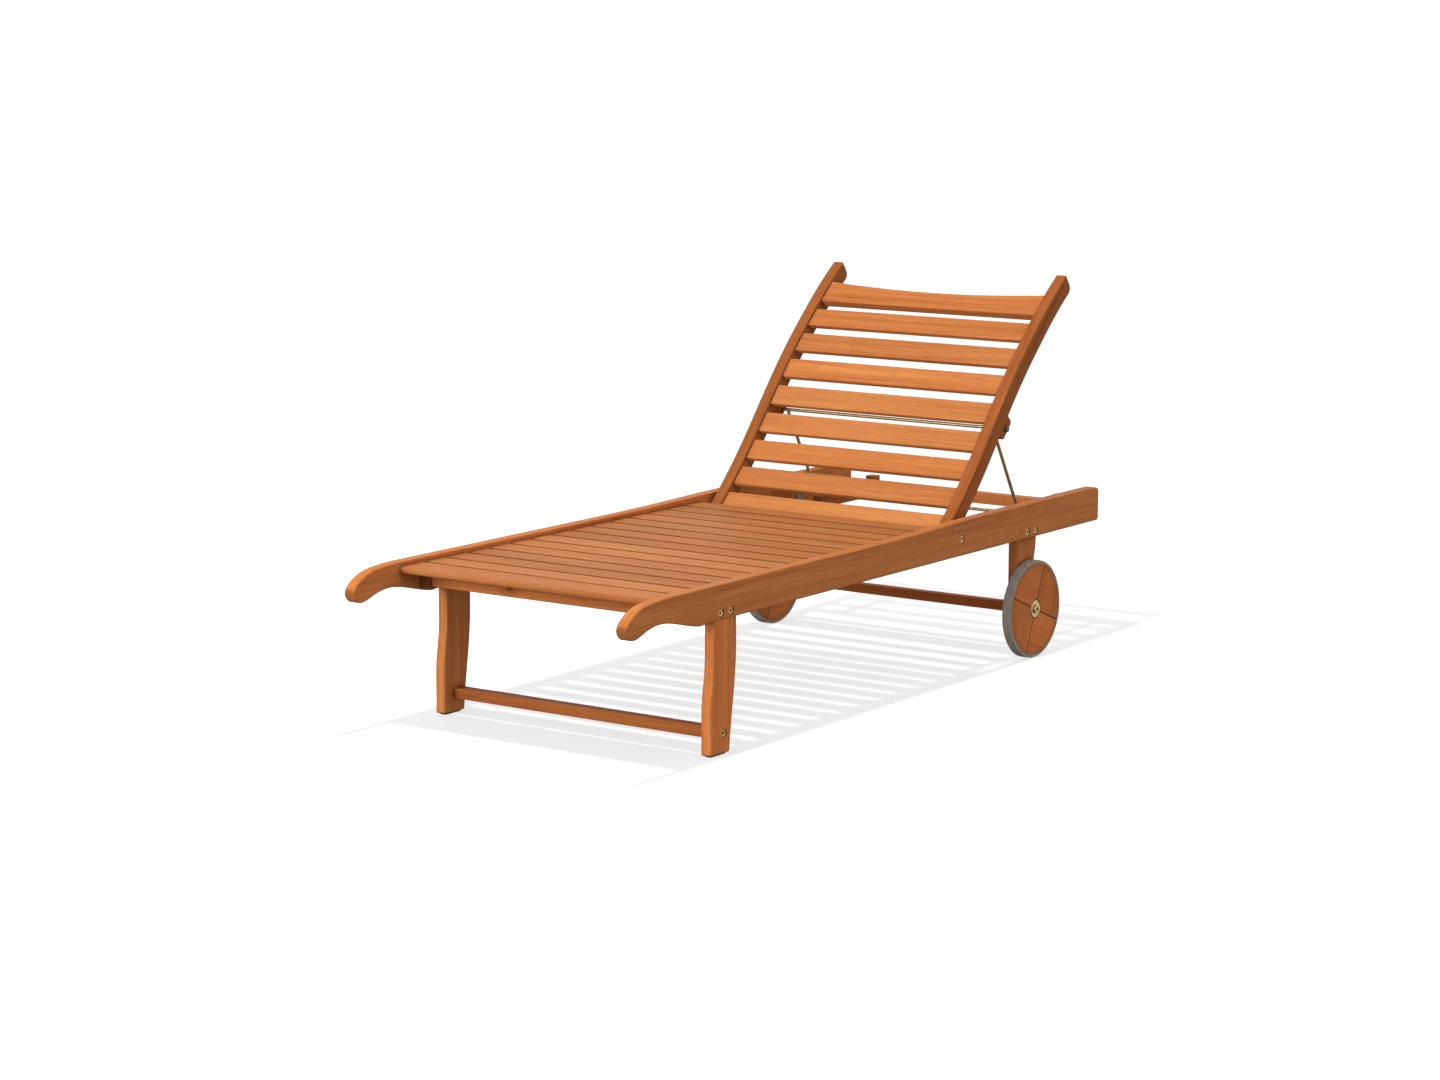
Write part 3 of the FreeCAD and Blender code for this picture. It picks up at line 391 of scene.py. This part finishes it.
# name or start of the name: way of the grain, tone, warmth (redder below 0, yellower above)
# The tones partly paint in light and shade: the rear cross rail is made paler to look lit, the front
# stretcher and the stiles darker to look shaded.
BOARDS = {
    "side_rail": (ALONG_Y, 0.99, -0.03),
    "ledger": (ALONG_Y, 0.75, -0.08),
    "seat_slat": (ALONG_X, 0.84, 0.08),
    "front_apron": (ALONG_X, 0.92, -0.04),
    "front_leg": (ALONG_Z, 1.18, -0.02),
    "front_stretcher": (ALONG_X, 0.68, -0.12),
    "rear_leg": (ALONG_Z, 0.86, -0.08),
    "rear_stretcher": (ALONG_X, 0.70, -0.14),
    "rear_cross_rail": (ALONG_X, 1.40, 0.02),
    "prop_rack": (ALONG_Y, 0.72, -0.06),
    "stile": (ALONG_BACKREST, 0.65, -0.06),
    "back_slat": (ALONG_X, 0.96, 0.03),
    "prop_block": (ALONG_BACKREST, 0.70, -0.06),
}
TONE_SPREAD = (0.90, 1.09)       # from board to board
WARMTH_SPREAD = (-0.07, 0.06)
WARMTH_OFFSET = 40               # keeps the warmth's draw apart from the tone's
MIDDLE_SLAT = 8
SLAT_FADE = 1.016                # each seat slat is this much paler than the next one towards the back
GAP_SHADE = 0.80                  # strength of the painted shade on the seat slats' front and back faces, inside the gaps
KNOT_ALONG = 0.335               # place of the apron's knot, as a share of its length
KNOT_RADIUS = 0.0068


def apron_knot():
    low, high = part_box("front_apron")
    return (low.x + KNOT_ALONG * (high.x - low.x), low.y, (low.z + high.z) / 2)


def dress_boards():
    number = 0
    for name in sorted(nodes):
        found = [board for start, board in BOARDS.items() if name.startswith(start)]
        if not found:
            continue
        turn, base_tone, base_warmth = found[0]
        number += 1
        tone = base_tone * spread(number, *TONE_SPREAD)
        warmth = base_warmth + spread(number + WARMTH_OFFSET, *WARMTH_SPREAD)
        painted_shade = 0.0
        if name.startswith("seat_slat"):
            place_in_row = int(name.removeprefix("seat_slat_"))
            tone *= SLAT_FADE ** (MIDDLE_SLAT - place_in_row)
            # the first slat's front face gets no painted gap shade: it is out in the open, over the apron
            painted_shade = GAP_SHADE if place_in_row > 1 else 0.0
        knot = apron_knot() if name == "front_apron" else None
        give(name, board_material("wood_" + name, turn, number, tone, warmth, knot, painted_shade))


def dress_wheels():
    for side, number in (("left", 1), ("right", 2)):
        low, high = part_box("tyre_" + side)
        centre = (low + high) / 2
        outer = (high.z - low.z) / 2
        give("wheel_disc_" + side, wheel_material("wheel_wood_" + side, centre, outer, number))
        give("tyre_" + side, tyre_material("tyre_rubber_" + side, centre, outer))


def dress_metal_and_plastic():
    # the brass bolts get painted shade in their sockets and recesses
    brass = metal_material("brass", (0.86, 0.66, 0.34), (0.62, 0.43, 0.18), 0.24, 0.42, grime_and_shade=0.95)
    hub = metal_material("hub_brass", (0.83, 0.63, 0.34), (0.62, 0.44, 0.21), 0.28, 0.46)
    wire = metal_material("yellow_zinc_wire", (0.74, 0.60, 0.34), (0.56, 0.43, 0.20), 0.28, 0.45)
    # painted shade: the zinc is given the dark brown-grey of its parts as they look in shade
    zinc = metal_material("zinc_plate", (0.30, 0.27, 0.24), (0.19, 0.17, 0.15), 0.40, 0.58, spangle=0.25)
    for name in ("leg_bolts", "pivot_bolts", "ledger_screws", "wheel_bolts"):
        give(name, brass)
    for name in ("wheel_hub_left", "wheel_hub_right"):
        give(name, hub)
    for name in ("pivot_spacers", "wheel_washers", "rack_bracket_left", "rack_bracket_right"):
        give(name, zinc)
    give("prop_rod", wire)
    give("prop_caps", plastic_material("grey_cap_plastic", 1.0))
    for name in ("foot_pad_left", "foot_pad_right"):
        give(name, plastic_material("black_pad_plastic_" + name, 0.22))


# ---------------------------------------------------------------- floor, light, camera
def area_light(name, place, aim, size, energy):
    light = bpy.data.lights.new(name, "AREA")
    light.shape = "DISK"
    light.size = size
    light.energy = energy
    lamp = bpy.data.objects.new(name, light)
    lamp.location = place
    lamp.rotation_euler = (aim - place).to_track_quat("-Z", "Y").to_euler()
    bpy.context.scene.collection.objects.link(lamp)
    return lamp


FLOOR_SIZE = 400.0
FLOOR_DROP = 0.0005              # keeps the floor just clear of the feet
FLOOR_TONE = 0.20
GLOW_NEAR = (1.8, 0.72)          # distance from the middle, emission there
GLOW_FAR = (7.0, 0.90)

LIGHT_AIM = Vector((0.0, 0.1, 0.3))
KEY_PLACE = Vector((0.12, -0.90, 3.50))
KEY_SIZE = 0.11
KEY_POWER = 50.0
FILL_PLACE = Vector((-1.6, -5.2, 1.6))
FILL_SIZE = 2.5
FILL_POWER = 150.0
FLOOR_KEY_SIZE = 0.32
FLOOR_KEY_POWER = 420.0

# strength of the surrounding light by height of the direction, from -1 straight down to 1 straight up
BELOW = (-0.45, 0.14)
HORIZON = (0.05, 1.03)
LOW_SKY = (0.22, 1.0)            # shares of the horizon's strength from here on
HIGH_SKY = (0.60, 0.80)

CAMERA_PLACE = (4.3073, -6.1830, 1.5899)
CAMERA_DOWN = 9.61               # degrees
CAMERA_TURN = 35.33
CAMERA_LENS = 86.9
CAMERA_SHIFT = 0.0024


def make_floor():
    """A white floor, hidden from bounced rays so that its glow doesn't light the object."""
    bpy.ops.mesh.primitive_plane_add(size=FLOOR_SIZE, location=(0.0, 0.0, -FLOOR_DROP))
    floor = bpy.context.object
    floor.name = "floor"
    tree = Tree("floor_white")
    tree.shader.inputs["Base Color"].default_value = (FLOOR_TONE, FLOOR_TONE, FLOOR_TONE, 1.0)
    tree.shader.inputs["Roughness"].default_value = 1.0
    tree.shader.inputs["Specular IOR Level"].default_value = 0.0
    tree.shader.inputs["Emission Color"].default_value = (1.0, 1.0, 1.0, 1.0)
    away = tree.vector("LENGTH", tree.coordinates(), output="Value")
    glow = tree.span(away, GLOW_NEAR[0], GLOW_FAR[0], GLOW_NEAR[1], GLOW_FAR[1])
    tree.put(tree.shader.inputs["Emission Strength"], glow)
    floor.visible_diffuse = False
    floor.visible_glossy = False
    floor.data.materials.append(tree.material)
    return floor


def make_surroundings():
    world = bpy.data.worlds.new("studio")
    bpy.context.scene.world = world
    world.use_nodes = True
    tree = world.node_tree
    direction = tree.nodes.new("ShaderNodeTexCoord").outputs["Generated"]
    split = tree.nodes.new("ShaderNodeSeparateXYZ")
    tree.links.new(direction, split.inputs[0])

    def ramp(start, end):
        node = tree.nodes.new("ShaderNodeMapRange")
        node.interpolation_type = "SMOOTHSTEP"
        tree.links.new(split.outputs[2], node.inputs["Value"])
        node.inputs["From Min"].default_value = start[0]
        node.inputs["From Max"].default_value = end[0]
        node.inputs["To Min"].default_value = start[1]
        node.inputs["To Max"].default_value = end[1]
        return node.outputs["Result"]

    product = tree.nodes.new("ShaderNodeMath")
    product.operation = "MULTIPLY"
    tree.links.new(ramp(BELOW, HORIZON), product.inputs[0])
    tree.links.new(ramp(LOW_SKY, HIGH_SKY), product.inputs[1])
    background = tree.nodes["Background"]
    background.inputs["Color"].default_value = (1.0, 1.0, 1.0, 1.0)
    tree.links.new(product.outputs["Value"], background.inputs["Strength"])


def make_lights(floor):
    """A small key above, a broad fill in front, and a lamp in the key's place for the floor alone.

    The floor's own lamp keeps the slats' shadows pale and their stripes clear.
    """
    area_light("key", KEY_PLACE, LIGHT_AIM, KEY_SIZE, KEY_POWER)
    area_light("fill", FILL_PLACE, LIGHT_AIM, FILL_SIZE, FILL_POWER)
    floor_key = area_light("floor_key", KEY_PLACE, LIGHT_AIM, FLOOR_KEY_SIZE, FLOOR_KEY_POWER)
    lit = bpy.data.collections.new("lit_by_floor_key")
    lit.objects.link(floor)
    floor_key.light_linking.receiver_collection = lit


def make_camera():
    data = bpy.data.cameras.new("camera")
    data.lens = CAMERA_LENS
    data.sensor_width = 36.0
    data.shift_y = CAMERA_SHIFT
    data.clip_end = 500.0
    camera = bpy.data.objects.new("camera", data)
    camera.location = CAMERA_PLACE
    camera.rotation_euler = (math.radians(90.0 - CAMERA_DOWN), 0.0, math.radians(CAMERA_TURN))
    bpy.context.scene.collection.objects.link(camera)
    bpy.context.scene.camera = camera
    bpy.context.scene.view_settings.view_transform = "Standard"


dress_boards()
dress_wheels()
dress_metal_and_plastic()
make_surroundings()
make_lights(make_floor())
make_camera()
